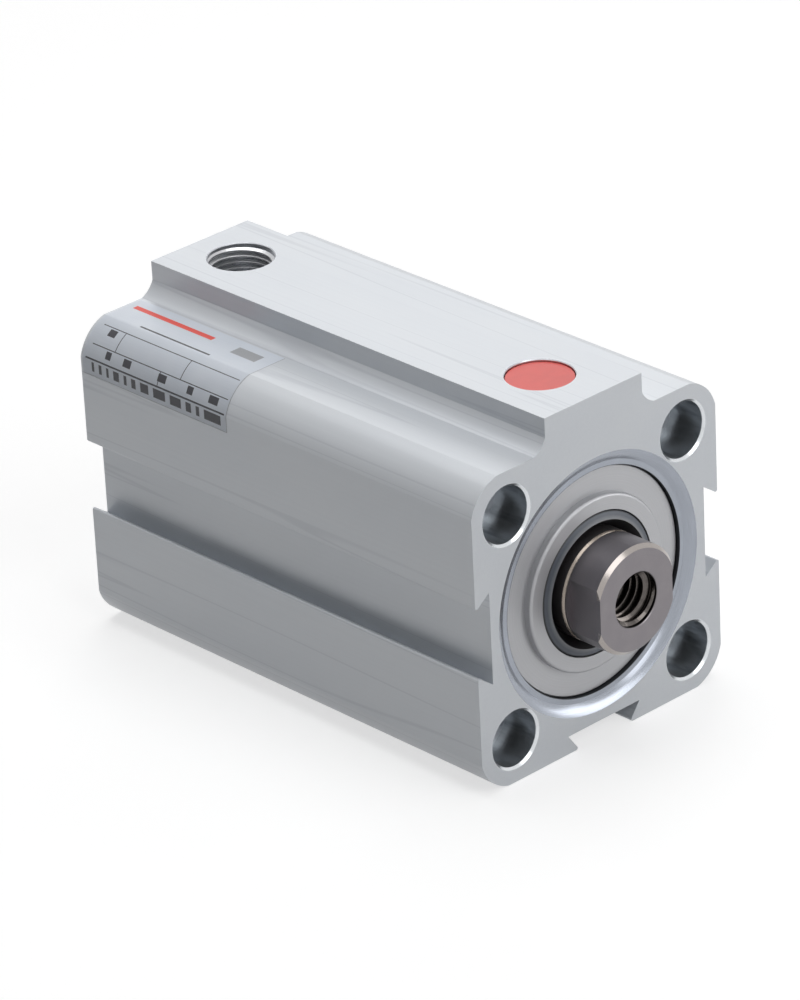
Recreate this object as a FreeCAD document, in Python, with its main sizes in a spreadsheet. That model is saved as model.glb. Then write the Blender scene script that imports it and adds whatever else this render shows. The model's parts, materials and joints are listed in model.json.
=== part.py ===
import FreeCAD, Part
import math
import os

import Sketcher

# Short-stroke pneumatic cylinder with a square extruded barrel, drawn retracted, in millimetres.
# The origin is the centre of the barrel's front face, on the rod's axis: +X runs across the face,
# +Y from the front face to the rear, and +Z up, towards the rail that holds the two air ports.

doc = FreeCAD.newDocument("ShortStrokeCylinder")
sheet = doc.addObject("Spreadsheet::Sheet", "Sizes")

DRIVING_SIZES = (
    # The barrel's section
    ("square_width", 47.0, "width and height of the square section"),
    ("hole_pitch", 34.0, "spacing of the four corner holes, both ways"),
    ("corner_reach", 0.2, "outer corners' arcs, concentric with the holes, reach past the sides"),
    ("rail_width", 18.6, "width of the port rail"),
    ("rail_height", 5.0, "rail top above the square"),
    ("rail_foot_width", 23.0, "width over the rail's sloping feet"),
    ("rail_foot_height", 2.1, "height of the rail's sloping feet"),
    ("rail_foot_radius", 4.0, "hollow of the rail's sloping feet"),
    ("slot_mouth", 10.0, "opening of the dovetail grooves"),
    ("slot_floor", 14.0, "floor width of the dovetail grooves"),
    ("slot_depth", 2.7, "depth of the dovetail grooves"),
    ("slot_lip_radius", 0.3, "rounding of the grooves' lips"),
    # Corner holes, the same from both ends
    ("corner_hole", 5.5, "diameter of the through holes"),
    ("counterbore", 8.3, "diameter of the counterbores"),
    ("counterbore_depth", 6.3, "depth of the counterbores"),
    ("counterbore_edge", 0.35, "chamfer at the counterbores' mouths"),
    # The bore and its two ends
    ("bore", 32.0, "cylinder bore"),
    ("stroke", 40.0, "travel of the piston"),
    ("mouth", 38.45, "wide end of the barrel's mouth"),
    ("mouth_depth", 0.94, "depth of the mouth's rounded flare"),
    ("mouth_round", 3.6, "radius that the flare is rounded to"),
    ("mouth_land", 0.82, "flat ring between the flare and the seat"),
    ("seat", 33.6, "bore that takes the covers' rims"),
    ("seat_depth", 6.0, "shoulder that the covers' rims rest on"),
    ("seat_clearance", 0.07, "radial play of the covers in the barrel"),
    # Air ports
    ("port_thread", 9.73, "port hole, at the major diameter of its thread"),
    ("port_depth", 7.5, "threaded depth of the ports"),
    ("port_tip", 1.6, "drill point under the ports' thread"),
    ("port_edge", 0.12, "chamfer at the ports' mouths"),
    ("air_passage", 2.6, "drilling from a port into the bore"),
    ("passage_shift", 2.0, "passage off the port's axis, towards the piston"),
    ("passage_margin", 0.05, "passage clear of the cover's inner end"),
    # Covers
    ("cover_recess", 1.5, "covers' faces below the barrel's faces"),
    ("cover_edge", 0.2, "chamfer on the covers' rims"),
    ("front_pilot", 4.7, "length of the front cover inside the bore"),
    ("rear_pilot", 3.4, "length of the rear cover inside the bore"),
    ("boss", 25.9, "raised boss on the front cover"),
    ("boss_height", 1.15, "boss above the front cover's face"),
    ("boss_round", 0.45, "rounded edge of the boss"),
    ("nose", 24.0, "front cover's nose inside the bore"),
    ("nose_length", 2.4, "length of the nose past the pilot"),
    ("rear_dish", 22.0, "shallow dish in the rear cover's face"),
    ("rear_dish_depth", 0.5, "depth of that dish"),
    # Snap rings that hold the covers
    ("snap_wire", 1.4, "wire of the retaining rings"),
    ("snap_station", 1.9, "retaining rings behind the covers' faces"),
    ("snap_clearance", 0.05, "play of the wire in the barrel's groove"),
    ("snap_room", 0.8, "depth that lets the wire sink into the cover"),
    ("snap_opening", 7.0, "opening between the retaining rings' ends"),
    # O-rings on the covers
    ("cover_cord", 1.5, "section of the covers' O-rings, as squeezed"),
    ("cover_cord_groove", 2.0, "width of their grooves"),
    ("cover_cord_station", 0.7, "grooves past the covers' shoulders"),
    ("cord_play", 0.02, "O-rings clear of what they seal, as drawn"),
    # Rod passage through the front cover
    ("rod", 16.0, "piston rod"),
    ("rod_relief", 0.3, "cover's bore clear of the rod"),
    ("seal_play", 0.05, "lips clear of the rod and the bore, as drawn"),
    ("wiper", 21.3, "recess of the wiper ring"),
    ("wiper_depth", 3.0, "depth of that recess below the boss"),
    ("wiper_heel", 1.7, "axial height of the wiper's heel"),
    ("wiper_edge", 0.27, "chamfer on the wiper's outer edge"),
    ("wiper_rise", 0.35, "tip of the wiper's lip in front of the boss"),
    ("wiper_lip_gap", 2.6, "wiper's open lip wider than the rod"),
    ("land", 0.8, "land between wiper, rod seal and bush"),
    ("rod_seal_groove", 22.0, "groove of the rod seal"),
    ("rod_seal_width", 3.0, "width of that groove"),
    ("bush", 19.0, "outside of the rod bush"),
    ("bush_clearance", 0.03, "running clearance of the rod in its bush"),
    ("fit_gap", 0.02, "gap left between pressed or bonded pieces"),
    # Bumpers
    ("front_bumper", 1.4, "thickness of the front bumper"),
    ("rear_bumper", 2.5, "thickness of the rear bumper"),
    ("rear_bumper_width", 24.0, "outside of the rear bumper"),
    ("bumper_hole", 18.0, "hole of the bumpers"),
    ("stop_gap", 0.1, "piston clear of the bumpers at its end stops"),
    # Piston
    ("piston_play", 0.2, "piston's radial play in the bore"),
    ("piston_land", 0.6, "lands beside the piston's grooves"),
    ("piston_seal_width", 2.2, "width of the piston seals' grooves"),
    ("piston_seal_floor", 25.2, "floor diameter of those grooves"),
    ("magnet_width", 2.2, "width of the magnet ring"),
    ("magnet_hub", 23.0, "hub that carries the magnet ring"),
    ("guide_width", 2.4, "width of the guide ring"),
    ("guide_floor", 28.6, "floor diameter of the guide ring's groove"),
    ("guide_split", 2.0, "split of the guide ring"),
    ("groove_play", 0.05, "rings narrower than their grooves, each side"),
    # Piston rod and its screw
    ("rod_projection", 7.0, "rod end in front of the barrel, retracted"),
    ("rod_end_edge", 0.55, "chamfer of the rod's front end"),
    ("flats", 14.0, "width across the wrench flats"),
    ("flats_length", 5.5, "length of the wrench flats"),
    ("rod_ring_station", 5.75, "shallow ring groove behind the rod's front end"),
    ("rod_ring_width", 0.6, "width of that groove"),
    ("rod_ring_depth", 0.3, "depth of that groove"),
    ("rod_thread", 8.0, "rod end hole, at its thread's major diameter"),
    ("rod_thread_depth", 12.0, "threaded depth in the rod end"),
    ("rod_thread_edge", 0.15, "chamfer at that hole's mouth"),
    ("spigot", 10.0, "rod's spigot in the piston"),
    ("spigot_end_gap", 0.1, "spigot short of the piston's rear half"),
    ("spigot_cord", 0.9, "section of the O-ring on the spigot"),
    ("spigot_cord_groove", 1.2, "width of that O-ring's groove"),
    ("spigot_cord_station", 1.4, "that groove behind the rod's shoulder"),
    ("screw", 6.0, "piston screw's thread"),
    ("screw_length", 14.0, "piston screw under its head"),
    ("screw_head", 10.0, "piston screw's head"),
    ("screw_head_height", 4.0, "height of that head"),
    ("screw_head_room", 0.6, "head's recess wider than the head, each side"),
    ("screw_head_sink", 0.4, "head below the piston's rear face"),
    ("screw_hole_extra", 2.0, "tapped hole longer than the screw"),
    ("socket", 5.0, "hexagon socket across its flats"),
    ("socket_depth", 2.2, "depth of the hexagon socket"),
    # Protective plug in the front port
    ("plug_recess", 0.35, "plug's top below the rail"),
    ("plug_gap", 0.12, "plug's top clear of the port's wall"),
    ("plug_top", 1.0, "thickness of the plug's top"),
    ("plug_skirt", 8.4, "outside of the plug's skirt"),
    ("plug_wall", 0.9, "wall of the plug's skirt"),
    ("plug_length", 5.5, "length of the plug's skirt"),
)

for row, (alias, size, meaning) in enumerate(DRIVING_SIZES, start=1):
    sheet.set(f"A{row}", meaning)
    sheet.set(f"B{row}", str(size))
    sheet.setAlias(f"B{row}", alias)
doc.recompute()

# Stations along the axis, from the barrel's front face towards its rear.
FRONT_COVER_END = "(Sizes.seat_depth + Sizes.front_pilot)"
NOSE_END = f"({FRONT_COVER_END} + Sizes.nose_length)"
FRONT_STOP = f"({NOSE_END} + Sizes.front_bumper + Sizes.stop_gap)"
PISTON_FRONT = f"({FRONT_STOP} + Sizes.stroke)"

# The retaining rings, behind either face, and half the width of the grooves that hold them.
SNAP_STATION = "(Sizes.cover_recess + Sizes.snap_station)"
SNAP_GROOVE_HALF = "(Sizes.snap_wire / 2 + Sizes.snap_clearance)"

# Stations on the piston, from its front face towards its rear.
FRONT_SEAL_GROOVE = "Sizes.piston_land"
MAGNET_SEAT = f"({FRONT_SEAL_GROOVE} + Sizes.piston_seal_width + Sizes.piston_land)"
PISTON_SPLIT = f"({MAGNET_SEAT} + Sizes.magnet_width)"
GUIDE_GROOVE = f"({PISTON_SPLIT} + Sizes.piston_land)"
REAR_SEAL_GROOVE = f"({GUIDE_GROOVE} + Sizes.guide_width + Sizes.piston_land)"
PISTON_LENGTH = f"({REAR_SEAL_GROOVE} + Sizes.piston_seal_width + Sizes.piston_land)"
SCREW_SEAT = f"({PISTON_LENGTH} - Sizes.screw_head_sink - Sizes.screw_head_height)"

# The barrel is as long as what it holds. Depths at the rear end are measured from the rear face.
REAR_COVER_END = "(Sizes.seat_depth + Sizes.rear_pilot)"
REAR_STOP = f"({REAR_COVER_END} + Sizes.rear_bumper + Sizes.stop_gap)"
BARREL_LENGTH = f"({PISTON_FRONT} + {PISTON_LENGTH} + {REAR_STOP})"

# Heights and half widths of the section.
HALF_SQUARE = "Sizes.square_width / 2"
CORNER_RADIUS = f"({HALF_SQUARE} - Sizes.hole_pitch / 2 + Sizes.corner_reach)"
RAIL_TOP = "(Sizes.square_width / 2 + Sizes.rail_height)"
PASSAGE_FROM_COVER = "(Sizes.air_passage / 2 + Sizes.passage_margin)"
FRONT_PASSAGE = f"({FRONT_COVER_END} + {PASSAGE_FROM_COVER})"
REAR_PASSAGE = f"({BARREL_LENGTH} - {REAR_COVER_END} - {PASSAGE_FROM_COVER})"
FRONT_PORT = f"({FRONT_PASSAGE} - Sizes.passage_shift)"
REAR_PORT = f"({REAR_PASSAGE} + Sizes.passage_shift)"


# Sides that an arc of an outline can bulge to.
LEFT = 1
RIGHT = -1

# Lengths that differ by less than this are the same.
SAME_LENGTH = 1e-3


def value(expression):
    """The present value of an expression over the sheet's cells."""
    return float(sheet.evalExpression(expression))


def new_body(label):
    return doc.addObject("PartDesign::Body", label)


def origin_feature(body, role):
    return next(feature for feature in body.Origin.OriginFeatures if feature.Role == role)


def new_sketch(body, name, role):
    sketch = body.newObject("Sketcher::SketchObject", name)
    sketch.AttachmentSupport = [(origin_feature(body, role), "")]
    sketch.MapMode = "FlatFace"
    return sketch


def bind(sketch, kind, geometry, expression):
    """Add a constraint of this kind, and tie its value to an expression."""
    index = sketch.addConstraint(Sketcher.Constraint(kind, *geometry, value(expression)))
    sketch.setExpression(f"Constraints[{index}]", expression)


def bind_point(sketch, geometry, vertex, place):
    """Tie a point of the sketch to a pair of expressions, measured from the sketch's origin."""
    bind(sketch, "DistanceX", (-1, 1, geometry, vertex), place[0])
    bind(sketch, "DistanceY", (-1, 1, geometry, vertex), place[1])


def bulging_arc(start, end, radius, side):
    """An arc from start to end that bulges to the left (side 1) or right (side -1) on the way."""
    chord = end - start
    across = FreeCAD.Vector(-chord.y, chord.x, 0).normalize() * side
    rise = radius - math.sqrt(radius ** 2 - (chord.Length / 2) ** 2)
    return Part.Arc(start, (start + end) / 2 + across * rise, end)


def draw_outline(sketch, corners, arcs=None):
    """Close a loop through corners, each a pair of expressions.

    arcs gives the radius expression and side of each edge that is an arc, by its first corner's number.
    """
    arcs = arcs or {}
    places = [FreeCAD.Vector(value(across), value(up), 0) for across, up in corners]
    first_points = []
    last_points = []
    for number, start in enumerate(places):
        end = places[(number + 1) % len(places)]
        if number in arcs:
            radius, side = arcs[number]
            curve = bulging_arc(start, end, value(radius), side)
        else:
            curve = Part.LineSegment(start, end)
        edge = sketch.addGeometry(curve, False)
        forward = sketch.getPoint(edge, 1).isEqual(start, 1e-6)
        first_points.append((edge, 1 if forward else 2))
        last_points.append((edge, 2 if forward else 1))
    for number, corner in enumerate(corners):
        following = first_points[(number + 1) % len(corners)]
        sketch.addConstraint(Sketcher.Constraint("Coincident", *last_points[number], *following))
        bind_point(sketch, *first_points[number], corner)
        if number in arcs:
            bind(sketch, "Radius", (first_points[number][0],), arcs[number][0])


def draw_circle(sketch, centre, radius):
    place = FreeCAD.Vector(value(centre[0]), value(centre[1]), 0)
    circle = Part.Circle(place, FreeCAD.Vector(0, 0, 1), value(radius))
    edge = sketch.addGeometry(circle, False)
    bind_point(sketch, edge, 3, centre)
    bind(sketch, "Radius", (edge,), radius)


def draw_axis(sketch, start, end):
    """A construction line to turn a profile about."""
    ends = [FreeCAD.Vector(value(across), value(up), 0) for across, up in (start, end)]
    edge = sketch.addGeometry(Part.LineSegment(*ends), True)
    bind_point(sketch, edge, 1, start)
    bind_point(sketch, edge, 2, end)


def add_turning(body, name, sketch, axis="H_Axis", kind="PartDesign::Revolution", arc="360"):
    turning = body.newObject(kind, name)
    turning.Profile = sketch
    turning.ReferenceAxis = (sketch, [axis])
    turning.setExpression("Angle", arc)
    return turning


def add_pocket(body, name, sketch, depth=None, up_the_normal=False):
    """Cut along a sketch's normal, backwards unless up_the_normal, through all if no depth is given."""
    pocket = body.newObject("PartDesign::Pocket", name)
    pocket.Profile = sketch
    pocket.Reversed = up_the_normal
    if depth is None:
        pocket.Type = "ThroughAll"
    else:
        pocket.setExpression("Length", depth)
    return pocket


def arc_left_by(opening, radius):
    """Degrees of a ring that stays when an opening of this width is left at this radius."""
    return f"360 - {opening} / ({radius}) * 180 / pi"


def turned_part(label, corners, arcs=None, arc="360"):
    """A piece turned about the cylinder's axis, from corners given as (station, radius)."""
    body = new_body(label)
    sketch = new_sketch(body, label + "_profile", "YZ_Plane")
    draw_outline(sketch, corners, arcs)
    add_turning(body, label + "_turning", sketch, arc=arc)
    return body


def squeezed_ring(label, station, radius, half):
    """An O-ring about the cylinder's axis, squeezed to eight flats that lie this far from its core."""
    near = f"({half} * tan(22.5))"
    eighths = [(half, near), (near, half), (f"-{near}", half), (f"-{half}", near)]
    eighths += [(f"-{half}", f"-{near}"), (f"-{near}", f"-{half}"), (near, f"-{half}"), (half, f"-{near}")]
    return turned_part(label, [(f"{along} + {station}", f"{out} + {radius}") for along, out in eighths])


def place_along_axis(body, station):
    body.setExpression("Placement.Base.y", station)
    return body


def place_at_rear(body):
    """Turn a piece that is drawn from the front face about +Z, onto the barrel's rear face."""
    body.Placement = FreeCAD.Placement(FreeCAD.Vector(0, 0, 0), FreeCAD.Rotation(180, 0, 0))
    return place_along_axis(body, BARREL_LENGTH)


# ---------------------------------------------------------------- barrel

def draw_square_section(sketch):
    """The square with corners concentric with the holes, each meeting the sides at a slight edge."""
    side = value(HALF_SQUARE)
    centre = value("Sizes.hole_pitch / 2")
    radius = value(CORNER_RADIUS)
    lean = math.acos((side - centre) / radius)
    quarter = math.pi / 2
    signs = ((1, 1), (-1, 1), (-1, -1), (1, -1))
    corners = []
    for number, (across, up) in enumerate(signs):
        circle = Part.Circle(
            FreeCAD.Vector(across * centre, up * centre, 0), FreeCAD.Vector(0, 0, 1), radius
        )
        start = number * quarter + lean
        end = (number + 1) * quarter - lean
        edge = sketch.addGeometry(Part.ArcOfCircle(circle, start, end), False)
        bind_point(
            sketch, edge, 3, (f"{across} * Sizes.hole_pitch / 2", f"{up} * Sizes.hole_pitch / 2")
        )
        bind(sketch, "Radius", (edge,), CORNER_RADIUS)
        corners.append(edge)
    for number, edge in enumerate(corners):
        following = corners[(number + 1) % len(corners)]
        side_line = sketch.addGeometry(
            Part.LineSegment(sketch.getPoint(edge, 2), sketch.getPoint(following, 1)), False
        )
        sketch.addConstraint(Sketcher.Constraint("Coincident", edge, 2, side_line, 1))
        sketch.addConstraint(Sketcher.Constraint("Coincident", side_line, 2, following, 1))
        across, up = signs[number]
        if across == up:
            sketch.addConstraint(Sketcher.Constraint("Horizontal", side_line))
            bind(sketch, "DistanceY", (-1, 1, side_line, 1), f"{up} * {HALF_SQUARE}")
        else:
            sketch.addConstraint(Sketcher.Constraint("Vertical", side_line))
            bind(sketch, "DistanceX", (-1, 1, side_line, 1), f"{across} * {HALF_SQUARE}")


def draw_rail_section(sketch):
    """The port rail, with a hollow slope at each foot. It roots at the level of the upper holes."""
    root = "Sizes.hole_pitch / 2"
    foot = "Sizes.rail_foot_width / 2"
    side = "Sizes.rail_width / 2"
    shoulder = f"({HALF_SQUARE} + Sizes.rail_foot_height)"
    draw_outline(
        sketch,
        [
            (foot, root),
            (foot, HALF_SQUARE),
            (side, shoulder),
            (side, RAIL_TOP),
            (f"-{side}", RAIL_TOP),
            (f"-{side}", shoulder),
            (f"-{foot}", HALF_SQUARE),
            (f"-{foot}", root),
        ],
        arcs={1: ("Sizes.rail_foot_radius", LEFT), 5: ("Sizes.rail_foot_radius", LEFT)},
    )


def add_corner_holes(body):
    """Four through holes with a counterbore at each end: one is cut and repeated about the axis."""
    line = "Sizes.hole_pitch / 2"
    hole = f"({line} + Sizes.corner_hole / 2)"
    bore = f"({line} + Sizes.counterbore / 2)"
    rim = f"({bore} + Sizes.counterbore_edge)"
    sketch = new_sketch(body, "corner_hole_profile", "YZ_Plane")
    sketch.setExpression("AttachmentOffset.Base.z", line)
    doc.recompute()
    draw_outline(
        sketch,
        [
            ("0", line),
            (BARREL_LENGTH, line),
            (BARREL_LENGTH, rim),
            (f"{BARREL_LENGTH} - Sizes.counterbore_edge", bore),
            (f"{BARREL_LENGTH} - Sizes.counterbore_depth", bore),
            (f"{BARREL_LENGTH} - Sizes.counterbore_depth", hole),
            ("Sizes.counterbore_depth", hole),
            ("Sizes.counterbore_depth", bore),
            ("Sizes.counterbore_edge", bore),
            ("0", rim),
        ],
    )
    draw_axis(sketch, ("0", line), (BARREL_LENGTH, line))
    groove = add_turning(body, "corner_hole", sketch, axis="Axis0", kind="PartDesign::Groove")
    pattern = body.newObject("PartDesign::PolarPattern", "corner_holes")
    pattern.Originals = [groove]
    pattern.Axis = (origin_feature(body, "Y_Axis"), [""])
    pattern.Angle = 360
    pattern.Occurrences = 4
    body.Tip = pattern


def add_port(body, name, port, passage):
    """A threaded port in the rail, and the narrow passage from it into the bore."""
    wall = f"({port} + Sizes.port_thread / 2)"
    floor = f"({RAIL_TOP} - Sizes.port_depth)"
    sketch = new_sketch(body, name + "_profile", "YZ_Plane")
    draw_outline(
        sketch,
        [
            (port, RAIL_TOP),
            (port, f"{floor} - Sizes.port_tip"),
            (wall, floor),
            (wall, f"{RAIL_TOP} - Sizes.port_edge"),
            (f"{wall} + Sizes.port_edge", RAIL_TOP),
        ],
    )
    draw_axis(sketch, (port, floor), (port, RAIL_TOP))
    add_turning(body, name, sketch, axis="Axis0", kind="PartDesign::Groove")
    circle = new_sketch(body, name + "_passage_circle", "XY_Plane")
    draw_circle(circle, ("0", passage), "Sizes.air_passage / 2")
    add_pocket(body, name + "_passage", circle, floor, up_the_normal=True)


def add_inside(body):
    """The bore, and at each end a seat with a snap ring groove, a flat ring and a rounded flare."""
    bore = "Sizes.bore / 2"
    seat = "Sizes.seat / 2"
    end = [
        ("0", "Sizes.mouth / 2"),
        ("Sizes.mouth_depth", f"{seat} + Sizes.mouth_land"),
        ("Sizes.mouth_depth", seat),
        (f"{SNAP_STATION} - {SNAP_GROOVE_HALF}", seat),
        (f"{SNAP_STATION} - {SNAP_GROOVE_HALF}", f"{seat} + {SNAP_GROOVE_HALF}"),
        (f"{SNAP_STATION} + {SNAP_GROOVE_HALF}", f"{seat} + {SNAP_GROOVE_HALF}"),
        (f"{SNAP_STATION} + {SNAP_GROOVE_HALF}", seat),
        ("Sizes.seat_depth", seat),
        ("Sizes.seat_depth", bore),
    ]
    other_end = [(f"{BARREL_LENGTH} - ({depth})", radius) for depth, radius in reversed(end)]
    corners = end + other_end
    last = len(corners) - 1
    flare = ("Sizes.mouth_round", RIGHT)
    sketch = new_sketch(body, "inside_profile", "YZ_Plane")
    draw_outline(
        sketch, corners + [(BARREL_LENGTH, "0"), ("0", "0")], arcs={0: flare, last - 1: flare}
    )
    add_turning(body, "inside", sketch, kind="PartDesign::Groove")


def add_dovetails(body):
    """A dovetail groove along the left, right and bottom faces, with rounded lips."""
    mouth = "Sizes.slot_mouth / 2"
    floor = "Sizes.slot_floor / 2"
    depth = f"({HALF_SQUARE} - Sizes.slot_depth)"
    bottom = [(mouth, f"-{HALF_SQUARE}"), (floor, f"-{depth}")]
    bottom += [(f"-{floor}", f"-{depth}"), (f"-{mouth}", f"-{HALF_SQUARE}")]
    right = [(HALF_SQUARE, mouth), (depth, floor), (depth, f"-{floor}"), (HALF_SQUARE, f"-{mouth}")]
    left = [(f"-{across}", up) for across, up in right]
    for name, corners in (("bottom", bottom), ("right", right), ("left", left)):
        sketch = new_sketch(body, name + "_groove_section", "XZ_Plane")
        draw_outline(sketch, corners)
        groove = add_pocket(body, name + "_groove", sketch)
    doc.recompute()
    fillet = body.newObject("PartDesign::Fillet", "groove_lips")
    fillet.Base = (groove, lip_edges(groove.Shape))
    fillet.setExpression("Radius", "Sizes.slot_lip_radius")


def same(length, other):
    return math.isclose(length, other, abs_tol=SAME_LENGTH)


def lip_edges(shape):
    """Names of the long edges where the dovetail grooves open on the faces."""
    side = value(HALF_SQUARE)
    mouth = value("Sizes.slot_mouth / 2")
    length = value(BARREL_LENGTH)
    names = []
    for number, edge in enumerate(shape.Edges, start=1):
        middle = edge.CenterOfMass
        lengthwise = same(edge.Length, length)
        on_side = same(abs(middle.x), side) and same(abs(middle.z), mouth)
        on_bottom = same(middle.z, -side) and same(abs(middle.x), mouth)
        if lengthwise and (on_side or on_bottom):
            names.append(f"Edge{number}")
    return names


def make_barrel():
    """The extruded barrel with its rail, grooves, bore, corner holes and ports."""
    body = new_body("barrel")
    for name, draw in (("square", draw_square_section), ("rail", draw_rail_section)):
        sketch = new_sketch(body, name + "_section", "XZ_Plane")
        draw(sketch)
        pad = body.newObject("PartDesign::Pad", name)
        pad.Profile = sketch
        pad.Reversed = True
        pad.setExpression("Length", BARREL_LENGTH)
        pad.Refine = True
    doc.recompute()
    add_dovetails(body)
    add_inside(body)
    add_corner_holes(body)
    add_port(body, "front_port", FRONT_PORT, FRONT_PASSAGE)
    add_port(body, "rear_port", REAR_PORT, REAR_PASSAGE)
    return body


# ---------------------------------------------------------------- covers and what they hold

COVER_RIM = "(Sizes.seat / 2 - Sizes.seat_clearance)"
COVER_PILOT = "(Sizes.bore / 2 - Sizes.seat_clearance)"
CORD_GROOVE = "(Sizes.seat_depth + Sizes.cover_cord_station)"
CORD_FLOOR = "(Sizes.bore / 2 - Sizes.cover_cord)"
BOSS_FACE = "(Sizes.cover_recess - Sizes.boss_height)"
WIPER_FLOOR = f"({BOSS_FACE} + Sizes.wiper_depth)"
ROD_SEAL_FRONT = f"({WIPER_FLOOR} + Sizes.land)"
ROD_SEAL_REAR = f"({ROD_SEAL_FRONT} + Sizes.rod_seal_width)"
BUSH_FRONT = f"({ROD_SEAL_REAR} + Sizes.land)"


def cover_outside(end):
    """Corners of a cover's outside, from its pilot's inner end at this station out to its face."""
    snap_floor = "(Sizes.seat / 2 - Sizes.snap_wire / 2 - Sizes.snap_room)"
    return [
        (end, COVER_PILOT),
        (f"{CORD_GROOVE} + Sizes.cover_cord_groove", COVER_PILOT),
        (f"{CORD_GROOVE} + Sizes.cover_cord_groove", CORD_FLOOR),
        (CORD_GROOVE, CORD_FLOOR),
        (CORD_GROOVE, COVER_PILOT),
        ("Sizes.seat_depth", COVER_PILOT),
        ("Sizes.seat_depth", COVER_RIM),
        (f"{SNAP_STATION} + {SNAP_GROOVE_HALF}", COVER_RIM),
        (f"{SNAP_STATION} + {SNAP_GROOVE_HALF}", snap_floor),
        (f"{SNAP_STATION} - {SNAP_GROOVE_HALF}", snap_floor),
        (f"{SNAP_STATION} - {SNAP_GROOVE_HALF}", COVER_RIM),
        ("Sizes.cover_recess + Sizes.cover_edge", COVER_RIM),
        ("Sizes.cover_recess", f"{COVER_RIM} - Sizes.cover_edge"),
    ]


def make_front_cover():
    """Turned cover with a raised boss, the wiper's recess, the rod seal's groove and the bush's seat."""
    boss = "Sizes.boss / 2"
    wiper = "Sizes.wiper / 2"
    relief = "(Sizes.rod / 2 + Sizes.rod_relief)"
    seal = "Sizes.rod_seal_groove / 2"
    bush = "Sizes.bush / 2"
    nose = "Sizes.nose / 2"
    corners = cover_outside(FRONT_COVER_END) + [("Sizes.cover_recess", boss)]
    rounded = len(corners)
    corners += [
        (f"{BOSS_FACE} + Sizes.boss_round", boss),
        (BOSS_FACE, f"{boss} - Sizes.boss_round"),
        (BOSS_FACE, wiper),
        (WIPER_FLOOR, wiper),
        (WIPER_FLOOR, relief),
        (ROD_SEAL_FRONT, relief),
        (ROD_SEAL_FRONT, seal),
        (ROD_SEAL_REAR, seal),
        (ROD_SEAL_REAR, relief),
        (BUSH_FRONT, relief),
        (BUSH_FRONT, bush),
        (NOSE_END, bush),
        (NOSE_END, nose),
        (FRONT_COVER_END, nose),
    ]
    return turned_part("front_cover", corners, arcs={rounded: ("Sizes.boss_round", RIGHT)})


def make_rear_cover():
    """Turned disc with a shallow dish in its face, drawn from the front and turned round."""
    dish = "Sizes.rear_dish / 2"
    corners = cover_outside(REAR_COVER_END)
    corners += [
        ("Sizes.cover_recess", dish),
        ("Sizes.cover_recess + Sizes.rear_dish_depth", dish),
        ("Sizes.cover_recess + Sizes.rear_dish_depth", "0"),
        (REAR_COVER_END, "0"),
    ]
    return place_at_rear(turned_part("rear_cover", corners))


def make_cover_o_ring(label):
    middle = f"({CORD_GROOVE} + Sizes.cover_cord_groove / 2)"
    radius = "(Sizes.bore / 2 - Sizes.cover_cord / 2)"
    return squeezed_ring(label, middle, radius, "(Sizes.cover_cord / 2 - Sizes.cord_play)")


def make_retaining_ring(label):
    """Open ring of square wire, half in the barrel's groove and half in the cover's."""
    front = f"({SNAP_STATION} - Sizes.snap_wire / 2)"
    rear = f"({SNAP_STATION} + Sizes.snap_wire / 2)"
    inside = "(Sizes.seat / 2 - Sizes.snap_wire / 2)"
    outside = "(Sizes.seat / 2 + Sizes.snap_wire / 2)"
    corners = [(front, inside), (front, outside), (rear, outside), (rear, inside)]
    return turned_part(label, corners, arc=arc_left_by("Sizes.snap_opening", inside))


def make_wiper_ring():
    """Wiper with a heel on the rod and a pointed lip that stands open towards the front."""
    heel_front = f"({WIPER_FLOOR} - Sizes.wiper_heel)"
    back = f"({WIPER_FLOOR} - Sizes.fit_gap)"
    outside = "(Sizes.wiper / 2 - Sizes.fit_gap)"
    on_rod = "(Sizes.rod / 2 + Sizes.seal_play)"
    return turned_part(
        "wiper_ring",
        [
            (back, outside),
            (f"{BOSS_FACE} + Sizes.wiper_edge", outside),
            (BOSS_FACE, f"{outside} - Sizes.wiper_edge"),
            (f"{BOSS_FACE} - Sizes.wiper_rise", "Sizes.rod / 2 + Sizes.wiper_lip_gap / 2"),
            (heel_front, on_rod),
            (back, on_rod),
        ],
    )


def make_rod_seal():
    """Cup seal whose open side faces the pressure."""
    front = f"({ROD_SEAL_FRONT} + Sizes.fit_gap)"
    rear = f"({ROD_SEAL_REAR} - Sizes.fit_gap)"
    web = f"({ROD_SEAL_FRONT} + Sizes.rod_seal_width * 0.45)"
    outside = "(Sizes.rod_seal_groove / 2 - Sizes.fit_gap)"
    on_rod = "(Sizes.rod / 2 + Sizes.seal_play)"
    middle = f"(({outside} + {on_rod}) / 2)"
    cup = "(Sizes.rod_seal_groove / 2 - Sizes.rod / 2) / 5"
    return turned_part(
        "rod_seal",
        [
            (front, on_rod),
            (front, outside),
            (rear, outside),
            (rear, f"{outside} - {cup}"),
            (web, middle),
            (rear, f"{on_rod} + {cup}"),
            (rear, on_rod),
        ],
    )


def make_rod_bushing():
    front = f"({BUSH_FRONT} + Sizes.fit_gap)"
    inside = "(Sizes.rod / 2 + Sizes.bush_clearance)"
    outside = "(Sizes.bush / 2 - Sizes.fit_gap)"
    return turned_part(
        "rod_bushing",
        [(front, inside), (front, outside), (NOSE_END, outside), (NOSE_END, inside)],
    )


def make_bumper(label, seat, thickness, width):
    """Flat elastomer ring bonded to the inner end of a cover."""
    hole = "Sizes.bumper_hole / 2"
    outside = f"{width} / 2"
    back = f"({seat} + {thickness})"
    return turned_part(label, [(seat, hole), (seat, outside), (back, outside), (back, hole)])


# ---------------------------------------------------------------- piston, drawn from its front face

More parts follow.
